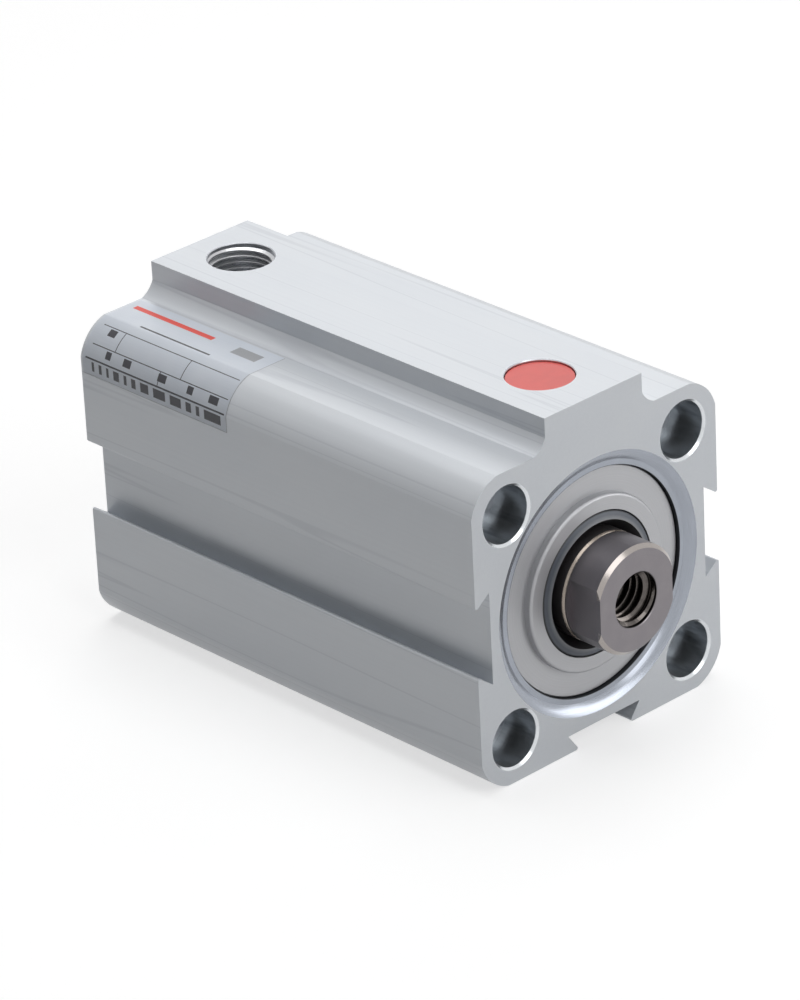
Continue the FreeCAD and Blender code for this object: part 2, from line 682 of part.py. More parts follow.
PISTON_WALL = "(Sizes.bore / 2 - Sizes.piston_play)"
SPIGOT_HOLE = "(Sizes.spigot / 2 + Sizes.fit_gap)"
SEAL_FLOOR = "Sizes.piston_seal_floor / 2"
MAGNET_HUB = "Sizes.magnet_hub / 2"


def on_piston(body):
    return place_along_axis(body, PISTON_FRONT)


def make_piston_front_half():
    """Front half, with a seal groove and the hub of the magnet ring."""
    return on_piston(
        turned_part(
            "piston_front_half",
            [
                ("0", SPIGOT_HOLE),
                ("0", PISTON_WALL),
                (FRONT_SEAL_GROOVE, PISTON_WALL),
                (FRONT_SEAL_GROOVE, SEAL_FLOOR),
                (f"{FRONT_SEAL_GROOVE} + Sizes.piston_seal_width", SEAL_FLOOR),
                (f"{FRONT_SEAL_GROOVE} + Sizes.piston_seal_width", PISTON_WALL),
                (MAGNET_SEAT, PISTON_WALL),
                (MAGNET_SEAT, MAGNET_HUB),
                (PISTON_SPLIT, MAGNET_HUB),
                (PISTON_SPLIT, SPIGOT_HOLE),
            ],
        )
    )


def make_piston_rear_half():
    """Rear half, with grooves for the guide ring and a seal, and the recess of the screw's head."""
    guide = "Sizes.guide_floor / 2"
    recess = "(Sizes.screw_head / 2 + Sizes.screw_head_room)"
    shank = "(Sizes.screw / 2 + Sizes.seal_play)"
    return on_piston(
        turned_part(
            "piston_rear_half",
            [
                (PISTON_SPLIT, shank),
                (PISTON_SPLIT, PISTON_WALL),
                (GUIDE_GROOVE, PISTON_WALL),
                (GUIDE_GROOVE, guide),
                (f"{GUIDE_GROOVE} + Sizes.guide_width", guide),
                (f"{GUIDE_GROOVE} + Sizes.guide_width", PISTON_WALL),
                (REAR_SEAL_GROOVE, PISTON_WALL),
                (REAR_SEAL_GROOVE, SEAL_FLOOR),
                (f"{REAR_SEAL_GROOVE} + Sizes.piston_seal_width", SEAL_FLOOR),
                (f"{REAR_SEAL_GROOVE} + Sizes.piston_seal_width", PISTON_WALL),
                (PISTON_LENGTH, PISTON_WALL),
                (PISTON_LENGTH, recess),
                (SCREW_SEAT, recess),
                (SCREW_SEAT, shank),
            ],
        )
    )


def make_piston_magnet():
    """Magnet ring for the position sensors, clamped between the piston's halves."""
    front = f"({MAGNET_SEAT} + Sizes.fit_gap)"
    rear = f"({PISTON_SPLIT} - Sizes.fit_gap)"
    hub = f"({MAGNET_HUB} + Sizes.fit_gap)"
    wall = f"({PISTON_WALL} - Sizes.piston_play)"
    return on_piston(turned_part("piston_magnet", [(front, hub), (front, wall), (rear, wall), (rear, hub)]))


def make_piston_seal(label, groove, towards_rear):
    """Lip seal in a piston groove. Its lip leans on the bore, on the side that holds the pressure."""
    front = f"({groove} + Sizes.groove_play)"
    rear = f"({groove} + Sizes.piston_seal_width - Sizes.groove_play)"
    lip_side, plain_side = (rear, front) if towards_rear else (front, rear)
    floor = f"({SEAL_FLOOR} + Sizes.groove_play)"
    lip = "(Sizes.bore / 2 - Sizes.seal_play)"
    back = f"({PISTON_WALL} - Sizes.piston_play)"
    return on_piston(
        turned_part(label, [(plain_side, floor), (plain_side, back), (lip_side, lip), (lip_side, floor)])
    )


def make_piston_guide_ring():
    """Split guide ring that carries the piston in the bore."""
    front = f"({GUIDE_GROOVE} + Sizes.groove_play)"
    rear = f"({GUIDE_GROOVE} + Sizes.guide_width - Sizes.groove_play)"
    floor = "(Sizes.guide_floor / 2 + Sizes.groove_play)"
    wall = "(Sizes.bore / 2 - Sizes.seal_play)"
    corners = [(front, floor), (front, wall), (rear, wall), (rear, floor)]
    arc = arc_left_by("Sizes.guide_split", wall)
    return on_piston(turned_part("piston_guide_ring", corners, arc=arc))


# ---------------------------------------------------------------- piston rod, drawn from its front end

ROD_SHOULDER = f"(Sizes.rod_projection + {PISTON_FRONT})"
SPIGOT_END = f"({ROD_SHOULDER} + {PISTON_SPLIT} - Sizes.spigot_end_gap)"
CORD_ON_SPIGOT = f"({ROD_SHOULDER} + Sizes.spigot_cord_station)"
SPIGOT_CORD_FLOOR = "(Sizes.spigot / 2 - Sizes.spigot_cord)"


def draw_flats(sketch, side):
    """A block beyond one wrench flat, wider than the rod."""
    flat = f"{side} * Sizes.flats / 2"
    beyond = f"{side} * Sizes.rod"
    half = "Sizes.rod"
    draw_outline(
        sketch, [(flat, f"-{half}"), (beyond, f"-{half}"), (beyond, half), (flat, half)]
    )


def make_piston_rod():
    """Rod with a threaded end, wrench flats and a ring groove in front, and the piston's spigot."""
    thread = "Sizes.rod_thread / 2"
    rod = "Sizes.rod / 2"
    ring_front = "Sizes.rod_ring_station"
    ring_rear = f"({ring_front} + Sizes.rod_ring_width)"
    ring_floor = f"({rod} - Sizes.rod_ring_depth)"
    spigot = "Sizes.spigot / 2"
    screw = "Sizes.screw / 2"
    screw_end = f"({ROD_SHOULDER} + {SCREW_SEAT} - Sizes.screw_length - Sizes.screw_hole_extra)"
    body = turned_part(
        "piston_rod",
        [
            (f"Sizes.rod_thread_depth + {thread} / 2", "0"),
            ("Sizes.rod_thread_depth", thread),
            ("Sizes.rod_thread_edge", thread),
            ("0", f"{thread} + Sizes.rod_thread_edge"),
            ("0", f"{rod} - Sizes.rod_end_edge"),
            ("Sizes.rod_end_edge", rod),
            (ring_front, rod),
            (ring_front, ring_floor),
            (ring_rear, ring_floor),
            (ring_rear, rod),
            (ROD_SHOULDER, rod),
            (ROD_SHOULDER, spigot),
            (CORD_ON_SPIGOT, spigot),
            (CORD_ON_SPIGOT, SPIGOT_CORD_FLOOR),
            (f"{CORD_ON_SPIGOT} + Sizes.spigot_cord_groove", SPIGOT_CORD_FLOOR),
            (f"{CORD_ON_SPIGOT} + Sizes.spigot_cord_groove", spigot),
            (SPIGOT_END, spigot),
            (SPIGOT_END, screw),
            (screw_end, screw),
            (f"{screw_end} - {screw} / 2", "0"),
        ],
    )
    for name, side in (("right_flat", 1), ("left_flat", -1)):
        sketch = new_sketch(body, name + "_outline", "XZ_Plane")
        draw_flats(sketch, side)
        add_pocket(body, name, sketch, "Sizes.flats_length")
    return place_along_axis(body, "-Sizes.rod_projection")


def make_piston_rod_o_ring():
    """O-ring that seals the piston on the rod's spigot."""
    station = "(Sizes.spigot_cord_station + Sizes.spigot_cord_groove / 2)"
    radius = "(Sizes.spigot / 2 - Sizes.spigot_cord / 2)"
    return on_piston(
        squeezed_ring("piston_rod_o_ring", station, radius, "(Sizes.spigot_cord / 2 - Sizes.cord_play)")
    )


def make_piston_screw():
    """Low-headed socket screw, drawn from the underside of its head."""
    shank = "(Sizes.screw / 2 - Sizes.fit_gap)"
    head = "Sizes.screw_head / 2"
    body = turned_part(
        "piston_screw",
        [
            ("-Sizes.screw_length", "0"),
            ("-Sizes.screw_length", shank),
            ("0", shank),
            ("0", head),
            ("Sizes.screw_head_height", head),
            ("Sizes.screw_head_height", "0"),
        ],
    )
    sketch = new_sketch(body, "socket_outline", "XZ_Plane")
    sketch.setExpression("AttachmentOffset.Base.z", "-Sizes.screw_head_height")
    doc.recompute()
    corner = "Sizes.socket / 2 / cos(30)"
    half = f"{corner} / 2"
    flat = "Sizes.socket / 2"
    draw_outline(
        sketch,
        [
            (corner, "0"),
            (half, flat),
            (f"-{half}", flat),
            (f"-{corner}", "0"),
            (f"-{half}", f"-{flat}"),
            (half, f"-{flat}"),
        ],
    )
    add_pocket(body, "socket", sketch, "Sizes.socket_depth", up_the_normal=True)
    return place_along_axis(body, f"{PISTON_FRONT} + {SCREW_SEAT}")


# ---------------------------------------------------------------- protective plug

def make_port_plug():
    """Push-in cup that keeps dirt out of the front port, drawn from the middle of its top."""
    top = "(Sizes.port_thread / 2 - Sizes.plug_gap)"
    skirt = "Sizes.plug_skirt / 2"
    inside = f"({skirt} - Sizes.plug_wall)"
    body = new_body("front_port_plug")
    sketch = new_sketch(body, "plug_profile", "YZ_Plane")
    draw_outline(
        sketch,
        [
            ("0", "0"),
            (top, "0"),
            (top, "-Sizes.plug_top"),
            (skirt, "-Sizes.plug_top"),
            (skirt, "-Sizes.plug_length"),
            (inside, "-Sizes.plug_length"),
            (inside, "-Sizes.plug_top"),
            ("0", "-Sizes.plug_top"),
        ],
    )
    add_turning(body, "plug_turning", sketch, axis="V_Axis")
    place_along_axis(body, FRONT_PORT)
    body.setExpression("Placement.Base.z", f"{RAIL_TOP} - Sizes.plug_recess")
    return body


def make_sub_parts():
    return [
        make_barrel(),
        make_front_cover(),
        make_cover_o_ring("front_cover_o_ring"),
        make_retaining_ring("front_retaining_ring"),
        make_wiper_ring(),
        make_rod_seal(),
        make_rod_bushing(),
        make_bumper("front_bumper", NOSE_END, "Sizes.front_bumper", "Sizes.nose"),
        make_rear_cover(),
        place_at_rear(make_cover_o_ring("rear_cover_o_ring")),
        place_at_rear(make_retaining_ring("rear_retaining_ring")),
        place_at_rear(
            make_bumper("rear_bumper", REAR_COVER_END, "Sizes.rear_bumper", "Sizes.rear_bumper_width")
        ),
        make_piston_rod(),
        make_piston_front_half(),
        make_piston_rear_half(),
        make_piston_magnet(),
        make_piston_seal("front_piston_seal", FRONT_SEAL_GROOVE, towards_rear=False),
        make_piston_seal("rear_piston_seal", REAR_SEAL_GROOVE, towards_rear=True),
        make_piston_guide_ring(),
        make_piston_rod_o_ring(),
        make_piston_screw(),
        make_port_plug(),
    ]


def check(sub_parts):
    """Stop at any object that failed to compute, and any piece that is not one valid solid."""
    for thing in doc.Objects:
        if "Invalid" in thing.State or "Error" in thing.State:
            raise RuntimeError(f"{thing.Label} did not compute: {thing.State}")
    for piece in sub_parts:
        shape = piece.Shape
        if shape.isNull() or not shape.isValid() or len(shape.Solids) != 1:
            raise RuntimeError(f"{piece.Label} is not one valid solid")


sub_parts = make_sub_parts()
doc.recompute()
check(sub_parts)
os.makedirs("parts", exist_ok=True)
for piece in sub_parts:
    piece.Shape.exportStep(f"parts/{piece.Label}.step")
    box = piece.Shape.BoundBox
    print(f"{piece.Label}: volume {piece.Shape.Volume:.1f} mm3, along y {box.YMin:.2f} to {box.YMax:.2f}")
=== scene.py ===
"""Dresses a compact pneumatic cylinder: finishes, screw threads, foil label, lights, floor and camera."""

import json
import math

import bmesh
import bpy
from mathutils import Matrix, Vector


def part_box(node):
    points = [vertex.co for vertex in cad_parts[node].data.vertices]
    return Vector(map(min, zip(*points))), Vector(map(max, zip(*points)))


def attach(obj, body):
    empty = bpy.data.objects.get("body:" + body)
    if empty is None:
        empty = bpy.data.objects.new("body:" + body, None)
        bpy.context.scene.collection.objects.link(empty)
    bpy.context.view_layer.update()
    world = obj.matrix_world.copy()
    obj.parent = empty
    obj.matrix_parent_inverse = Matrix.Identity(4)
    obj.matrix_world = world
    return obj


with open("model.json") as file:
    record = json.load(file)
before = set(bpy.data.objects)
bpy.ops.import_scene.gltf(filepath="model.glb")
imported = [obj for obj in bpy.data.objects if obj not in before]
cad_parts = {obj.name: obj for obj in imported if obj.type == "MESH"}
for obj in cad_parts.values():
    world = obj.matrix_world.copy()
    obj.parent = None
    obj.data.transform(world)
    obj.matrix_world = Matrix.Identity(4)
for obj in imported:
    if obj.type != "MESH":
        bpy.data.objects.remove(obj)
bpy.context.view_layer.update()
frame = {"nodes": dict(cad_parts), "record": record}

MM = 0.001
BARREL_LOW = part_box("barrel")[0]
MOUNTS = {mount["name"]: mount for mount in frame["record"]["mounts"]}

# The lobe at the barrel's upper left, which carries the label: a flat top, an arc and a flat side. The arc
# meets the flat top at LOBE_ARC_ANGLE above level, and the flat side at the same angle from upright.
LOBE_CENTRE = Vector((-17.0 * MM, 0.0, 17.0 * MM))
LOBE_RADIUS = 6.7 * MM
LOBE_TOP = 23.5 * MM
SLOPE_FOOT = -12.0 * MM
LOBE_ARC_ANGLE = math.asin((LOBE_TOP - LOBE_CENTRE.z) / LOBE_RADIUS)
LOBE_SIDE_TOP = LOBE_CENTRE.z + LOBE_RADIUS * math.cos(LOBE_ARC_ANGLE)

# Machined zones of the barrel, as radii: the turned mouths, the seats and bore, painted dark as shade round
# the covers, the corner holes with their rims, the walls of those holes alone, and the ports down to
# PORT_FLOOR.
MOUTH_ZONE = 19.24 * MM
SHADED_BORE_ZONE = 16.84 * MM
HOLE_CENTRE = (17.0 * MM, 0.0, 17.0 * MM)
HOLE_ZONE = 4.52 * MM
HOLE_WALL_ZONE = HOLE_ZONE - 0.33 * MM
PORT_ZONE = MOUNTS["rear_port"]["dims"]["r_mm"] * MM + 0.14 * MM
PORT_FLOOR = 18.0 * MM

# Zones of the rod: stations from its tip for the chamfer and the ring groove, and radii for the chamfer's
# foot and the tapped hole. The mount of that hole lies 0.2 mm inside the tip.
ROD_TIP = MOUNTS["rod_end_thread"]["pos_m"][1] - 0.2 * MM
ROD_CHAMFER = 0.56 * MM
ROD_CHAMFER_FOOT = 7.42 * MM
ROD_RING = 6.05 * MM
ROD_RING_HALF = 0.32 * MM
HOLE_IN_ROD = MOUNTS["rod_end_thread"]["dims"]["r_mm"] * MM + 0.03 * MM

# Zones of the wiper, as radii: the lip, with a painted sheen on it and painted shade inside it, and the outer
# edge, with painted shade.
WIPER_LIP = 9.3 * MM
WIPER_EDGE = 10.4 * MM

# The label: its ends, its foot, the lift of its foil, the width of its thin rules and of the painted shade
# along its edge, the steps round its arc, and the places of its inks among its finishes.
LABEL_FRONT = 48.1 * MM
LABEL_REAR = 78.2 * MM
LABEL_FOOT = 16.3 * MM
FOIL = 0.01 * MM
RULE = 0.14 * MM
EDGE = 0.1 * MM
ARC_STEPS = 40
BLACK_INK, RED_INK, GREY_INK_AND_EDGE_SHADE = 1, 2, 3

# Its three long rules, by their angle round the lobe in degrees, with a row of blocks under the lowest, whose
# widths and spacing are in millimetres, and small boxes under the others.
RULE_ANGLES = (117.0, 144.3, 162.5)
RULES_FRONT = 48.6 * MM
BLOCKS_FRONT = 49.3 * MM
BLOCK_WIDTHS = (3.4, 0.7, 1.1, 2.3, 2.5, 1.7, 0.9, 0.6, 1.2, 0.5, 0.6, 0.5)
BLOCK_SPACING = 1.0
BOX_INSET = 0.35 * MM
BOX_HEIGHT = 1.15 * MM

# The threads. A ridge has flanks at 60 degrees to each other, RIDGE_DEPTH is its height as a share of the
# pitch, and its root is buried a little in the wall. FADE is the share of its height that it gains per turn
# at either end.
RIDGE_DEPTH = 0.541
FLANK = math.radians(30)
BURIED = 0.03 * MM
FADE = 1.6
ROD_PITCH = 1.25 * MM
PORT_PITCH = 0.907 * MM
TURN_STEPS = 48

# The camera: where it stands, where it looks and how far it leans to the right.
CAMERA_PLACE = Vector((-482.91, -485.59, 356.76)) * MM
CAMERA_TARGET = Vector((-2.1, 36.9, 1.5)) * MM
CAMERA_LEAN = math.radians(-2.94)
CAMERA_LENS = 204.2

# The lamps: place in metres, side in metres and power in watts.
SOFTBOXES = {
    "overhead": ((0.05, 0.15, 0.75), 0.6, 3.3),
    "front_high": ((0.0, -0.55, 0.55), 0.5, 1.5),
    "near_right": ((0.3, -0.3, 0.0), 0.32, 0.85),
    "rear_right": ((0.6, 0.65, 0.55), 0.5, 0.9),
    "rear_left": ((-0.46, 0.63, 0.62), 0.4, 0.12),
}

# The even light of the surround, and the floor: its tone, the light it gives where it is seen, its half width
# and its distance under the barrel.
AMBIENT = 0.035
FLOOR_TONE = 0.52
FLOOR_LIFT = 0.62
FLOOR_HALF = 1.5
FLOOR_GAP = 0.05 * MM

# The part of a noise's range that most of its values fill.
MIDDLE = (0.3, 0.7)


def tone(red, green, blue):
    """A colour given as 0 to 255 on the screen, as the linear light that a shader takes."""
    def linear(level):
        share = level / 255
        return share / 12.92 if share <= 0.04045 else ((share + 0.055) / 1.055) ** 2.4
    return (linear(red), linear(green), linear(blue), 1.0)


def scaled(colour, share, lift=0.0):
    """A colour made darker or lighter."""
    return tuple(min(1.0, part * share + lift) for part in colour[:3]) + (1.0,)


class Finish:
    """A material with a Principled shader, whose patterns follow the object's own coordinates."""

    def __init__(self, name, colour, roughness, metallic=0.0, **sockets):
        self.material = bpy.data.materials.new(name)
        self.material.use_nodes = True
        self.tree = self.material.node_tree
        self.shader = self.tree.nodes["Principled BSDF"]
        self.colour = colour
        self.roughness = roughness
        self.metallic = metallic
        self.shader.inputs["Base Color"].default_value = colour
        self.shader.inputs["Roughness"].default_value = roughness
        self.shader.inputs["Metallic"].default_value = metallic
        for socket, value in sockets.items():
            self.shader.inputs[socket.replace("_", " ")].default_value = value
        self.colour_output = None
        self.roughness_output = None
        self.metallic_output = None
        self.bump_output = None
        self.place = self.add("ShaderNodeTexCoord").outputs["Object"]

    def add(self, kind, links=(), **settings):
        """A node with its settings and its inputs: a number is set, and an output is linked."""
        node = self.tree.nodes.new(kind)
        for key, value in settings.items():
            setattr(node, key, value)
        for socket, value in dict(links).items():
            if isinstance(value, bpy.types.NodeSocket):
                self.tree.links.new(value, node.inputs[socket])
            else:
                node.inputs[socket].default_value = value
        return node

    def maths(self, operation, first, second=0.0):
        """The result of a sum on one or two patterns or numbers."""
        return self.add("ShaderNodeMath", {0: first, 1: second}, operation=operation).outputs[0]

    def spread(self, pattern, low, high, start=0.0, end=1.0):
        """The pattern from low to high, stretched to run from start to end."""
        limits = {"Value": pattern, "From Min": low, "From Max": high, "To Min": start, "To Max": end}
        return self.add("ShaderNodeMapRange", limits).outputs[0]

    def along(self, axis):
        """The place along an axis."""
        return self.add("ShaderNodeSeparateXYZ", {0: self.place}).outputs[axis]

    def grain(self, size, detail, stretch=(1.0, 1.0, 1.0)):
        """Noise whose grains are of that size, drawn out along the axes whose stretch is over 1."""
        scale = [1 / (size * share) for share in stretch]
        mapped = self.add("ShaderNodeMapping", {"Vector": self.place, "Scale": scale}).outputs[0]
        links = {"Vector": mapped, "Scale": 1.0, "Detail": detail}
        return self.add("ShaderNodeTexNoise", links).outputs["Fac"]

    def radius_from(self, axis, centre=(0.0, 0.0, 0.0), mirrored=False):
        """The distance from a line along the axis, or from the nearest of its four mirror images."""
        across = [0.0 if letter == axis else 1.0 for letter in "XYZ"]
        place = self.place
        if mirrored:
            place = self.add("ShaderNodeVectorMath", {0: place}, operation="ABSOLUTE").outputs[0]
        moved = self.add("ShaderNodeVectorMath", {0: place, 1: centre}, operation="SUBTRACT")
        flat = self.add("ShaderNodeVectorMath", {0: moved.outputs[0], 1: across}, operation="MULTIPLY")
        return self.add("ShaderNodeVectorMath", {0: flat.outputs[0]}, operation="LENGTH").outputs["Value"]

    def zone(self, distance, limit, soft=0.02 * MM):
        """1 where the distance is under the limit and 0 where it is over."""
        return self.spread(distance, limit + soft, limit - soft)

    def tool_marks(self, size, axis):
        """Fine rings round an axis, on a turned wall along the axis and on a faced end across it."""
        station = self.maths("DIVIDE", self.maths("ADD", self.radius_from(axis), self.along(axis)), size)
        links = {"W": station, "Scale": 1.0, "Detail": 3.0}
        return self.add("ShaderNodeTexNoise", links, noise_dimensions="1D").outputs["Fac"]

    def facing(self, axis):
        """How squarely the surface faces along the axis, either way, from 0 to 1."""
        normal = self.add("ShaderNodeTexCoord").outputs["Normal"]
        part = self.add("ShaderNodeSeparateXYZ", {0: normal}).outputs[axis]
        return self.maths("ABSOLUTE", part)

    def tint(self, pattern, other, share=1.0):
        """Mixes the other colour in by the pattern."""
        fac = self.maths("MULTIPLY", pattern, share)
        base = self.colour_output or self.colour
        node = self.add("ShaderNodeMix", data_type="RGBA")
        colour_inputs = [socket for socket in node.inputs if socket.type == "RGBA"]
        for socket, value in zip(colour_inputs, (base, other)):
            if isinstance(value, bpy.types.NodeSocket):
                self.tree.links.new(value, socket)
            else:
                socket.default_value = value
        self.tree.links.new(fac, node.inputs["Factor"])
        self.colour_output = [socket for socket in node.outputs if socket.type == "RGBA"][0]
        return self

    def roughen(self, pattern, change):
        """Adds to the roughness where the pattern is over a half, and takes away where it is under."""
        base = self.roughness_output or self.roughness
        swing = self.maths("MULTIPLY", self.maths("SUBTRACT", pattern, 0.5), change)
        self.roughness_output = self.maths("ADD", base, swing)
        return self

    def machine(self, zone, colour, roughness, metallic):
        """Gives a zone a finish of its own."""
        self.tint(zone, colour)
        rough, metal = self.roughness_output or self.roughness, self.metallic_output or self.metallic
        self.roughness_output = self.spread(zone, 0.0, 1.0, rough, roughness)
        self.metallic_output = self.spread(zone, 0.0, 1.0, metal, metallic)
        return self

    def emboss(self, pattern, height, strength):
        """Raises the surface by the pattern, to that height."""
        links = {"Height": pattern, "Distance": height, "Strength": strength}
        if self.bump_output:
            links["Normal"] = self.bump_output
        self.bump_output = self.add("ShaderNodeBump", links).outputs[0]
        return self

    def done(self):
        """Links what was mixed to the shader, and gives the material."""
        ends = (("Base Color", self.colour_output), ("Roughness", self.roughness_output),
                ("Metallic", self.metallic_output), ("Normal", self.bump_output))
        for socket, output in ends:
            if output:
                self.tree.links.new(output, self.shader.inputs[socket])
        return self.material


def anodised_barrel():
    """Satin anodised extrusion with die lines, its mouths, holes and ports machined, and its bore painted
    dark as shade.
    """
    finish = Finish("anodised_barrel", tone(209, 213, 218), 0.36, 0.22)
    lines = finish.grain(0.5 * MM, 4.0, (1.0, 400.0, 1.0))
    grain = finish.grain(0.09 * MM, 2.0)
    cloud = finish.grain(9.0 * MM, 3.0, (1.0, 3.0, 1.0))
    swell = finish.grain(5.5 * MM, 2.0, (1.0, 60.0, 1.0))
    # Hair-thin scores run lengthwise where the swell crosses its mean, and not over the end faces.
    scores = finish.spread(finish.maths("ABSOLUTE", finish.maths("SUBTRACT", swell, 0.5)), 0.012, 0.003)
    scores = finish.maths("MULTIPLY", scores, finish.spread(finish.facing("Y"), 0.5, 0.2))
    finish.tint(finish.spread(lines, *MIDDLE), tone(203, 207, 213), 0.4)
    finish.tint(finish.spread(cloud, 0.35, 0.75), tone(215, 218, 221), 0.4)
    finish.tint(scores, tone(172, 176, 184), 0.3)
    finish.roughen(lines, 0.06).roughen(grain, 0.08)
    finish.emboss(grain, 0.004 * MM, 0.35).emboss(lines, 0.006 * MM, 0.12)
    # The turned mouths, with fine rings, and the bore inside them.
    from_axis = finish.radius_from("Y")
    rings = finish.grain(0.06 * MM, 2.0, (60.0, 1.0, 60.0))
    mouths = finish.zone(from_axis, MOUTH_ZONE)
    finish.machine(mouths, tone(158, 163, 172), 0.24, 0.88)
    finish.tint(finish.maths("MULTIPLY", mouths, finish.spread(rings, 0.35, 0.65)), tone(146, 151, 159), 0.5)
    # Painted shade: the seats and bore dark, for the shaded gap round the cover.
    finish.machine(finish.zone(from_axis, SHADED_BORE_ZONE), tone(58, 60, 64), 0.4, 0.8)
    # The corner holes: bright rims, and walls with darker patches drawn out along the holes.
    from_hole = finish.radius_from("Y", HOLE_CENTRE, mirrored=True)
    holes = finish.zone(from_hole, HOLE_ZONE)
    walls = finish.zone(from_hole, HOLE_WALL_ZONE)
    wall_streaks = finish.grain(1.6 * MM, 3.0, (1.0, 5.0, 1.0))
    finish.machine(holes, tone(218, 221, 224), 0.2, 0.9)
    finish.machine(walls, tone(184, 188, 192), 0.3, 0.9)
    finish.tint(finish.maths("MULTIPLY", walls, finish.spread(wall_streaks, 0.52, 0.68)), tone(118, 123, 130), 0.6)
    # The ports, down to their floors.
    above = finish.spread(finish.along("Z"), PORT_FLOOR, PORT_FLOOR + 0.1 * MM)
    for port in ("rear_port", "front_port"):
        drilled = finish.zone(finish.radius_from("Z", MOUNTS[port]["pos_m"]), PORT_ZONE)
        finish.machine(finish.maths("MULTIPLY", drilled, above), tone(190, 193, 198), 0.25, 0.9)
    return finish.done()


def machined_bore():
    """Bare aluminium as a drill and a tap leave it."""
    finish = Finish("machined_bore", tone(205, 206, 208), 0.3, 0.9)
    marks = finish.tool_marks(0.08 * MM, "Z")
    finish.tint(finish.spread(marks, *MIDDLE), tone(178, 179, 182), 0.6)
    finish.roughen(marks, 0.2).emboss(marks, 0.01 * MM, 0.4)
    return finish.done()


def turned_cover():
    """Turned aluminium cover, satin grey, with faint rings round its axis."""
    finish = Finish("turned_cover", tone(186, 187, 190), 0.4, 0.5)
    rings = finish.tool_marks(0.12 * MM, "Y")
    grain = finish.grain(0.1 * MM, 2.0)
    finish.tint(finish.spread(rings, *MIDDLE), tone(174, 174, 177), 0.5)
    finish.roughen(rings, 0.1).roughen(grain, 0.08)
    finish.emboss(rings, 0.006 * MM, 0.3).emboss(grain, 0.004 * MM, 0.3)
    return finish.done()


def rod_steel():
    """Ground steel, dark and faintly warm, with a brighter chamfer and ring groove, and its tapped hole
    painted black as shade.
    """
    finish = Finish("rod_steel", tone(130, 126, 129), 0.36, 0.97)
    rings = finish.tool_marks(0.05 * MM, "Y")
    cloud = finish.grain(2.5 * MM, 3.0)
    finish.tint(finish.spread(rings, *MIDDLE), tone(115, 111, 115), 0.5)
    finish.tint(finish.spread(cloud, 0.4, 0.8), tone(140, 136, 137), 0.35)
    finish.roughen(rings, 0.1).emboss(rings, 0.003 * MM, 0.3)
    from_axis = finish.radius_from("Y")
    along = finish.along("Y")
    beyond_foot = finish.spread(from_axis, ROD_CHAMFER_FOOT, ROD_CHAMFER_FOOT + 0.04 * MM)
    chamfer = finish.maths("MULTIPLY", finish.zone(along, ROD_TIP + ROD_CHAMFER), beyond_foot)
    from_ring = finish.maths("ABSOLUTE", finish.maths("SUBTRACT", along, ROD_TIP + ROD_RING))
    finish.machine(chamfer, tone(164, 158, 154), 0.2, 0.95)
    finish.machine(finish.zone(from_ring, ROD_RING_HALF), tone(196, 190, 184), 0.25, 0.95)
    # Painted shade: the inside of the tapped hole is near black.
    finish.machine(finish.zone(from_axis, HOLE_IN_ROD), tone(30, 28, 28), 0.4, 0.85)
    return finish.done()


def tapped_steel():
    """The cut flanks of the rod's thread, steel painted dark, with darker blotches, as shade inside the hole.
    """
    # Painted shade: the flanks dark and blotched darker, for the shade deep in the hole.
    finish = Finish("tapped_steel", tone(104, 99, 96), 0.2, 0.95)
    marks = finish.tool_marks(0.06 * MM, "Y")
    blotches = finish.grain(0.8 * MM, 3.0)
    finish.tint(finish.spread(marks, *MIDDLE), tone(78, 74, 72), 0.6)
    finish.tint(finish.spread(blotches, 0.5, 0.75), tone(52, 48, 46), 0.6)
    finish.roughen(marks, 0.12).emboss(marks, 0.004 * MM, 0.3)
    return finish.done()


def wiper_rubber():
    """Polyurethane wiper, with painted shade at its outer edge, a painted sheen on its lip and its inner side
    painted black as shade.
    """
    finish = Finish("wiper_elastomer", tone(80, 87, 98), 0.4)
    from_axis = finish.radius_from("Y")
    grain = finish.grain(0.1 * MM, 3.0)
    mottle = finish.grain(2.0 * MM, 4.0)
    finish.tint(finish.spread(mottle, 0.35, 0.7), tone(66, 73, 84), 0.5)
    # Painted sheen: the lip paler towards its inner edge.
    finish.tint(finish.spread(from_axis, WIPER_LIP + 0.6 * MM, WIPER_LIP), tone(150, 152, 154), 0.7)
    # Painted shade: the outermost edge dark, where the wiper meets its recess.
    finish.tint(finish.spread(from_axis, WIPER_EDGE - 0.15 * MM, WIPER_EDGE), tone(36, 38, 43))
    # Painted shade: the inner side, inside the lip, black.
    finish.tint(finish.zone(from_axis, WIPER_LIP, 0.04 * MM), tone(12, 12, 14))
    finish.roughen(grain, 0.16).emboss(grain, 0.008 * MM, 0.3)
    return finish.done()


def plain_metal(name, colour, roughness, marks_size, metallic=0.95):
    """A turned metal that is mostly out of sight."""
    finish = Finish(name, colour, roughness, metallic)
    marks = finish.tool_marks(marks_size, "Y")
    finish.tint(finish.spread(marks, *MIDDLE), scaled(colour, 0.78), 0.6)
    finish.roughen(marks, 0.15).emboss(marks, 0.006 * MM, 0.4)
    return finish.done()


def moulded(name, colour, roughness, grain_size, speck, **sockets):
    """A rubber or plastic: a moulded grain with slow mottling and a few specks of another colour."""
    finish = Finish(name, colour, roughness, 0.0, **sockets)
    grain = finish.grain(grain_size, 3.0)
    mottle = finish.grain(3.0 * MM, 4.0)
    finish.tint(finish.spread(mottle, 0.35, 0.7), scaled(colour, 0.8), 0.45)
    finish.tint(finish.spread(grain, 0.62, 0.8), speck, 0.3)
    finish.roughen(grain, 0.16).emboss(grain, 0.01 * MM, 0.35)
    return finish.done()


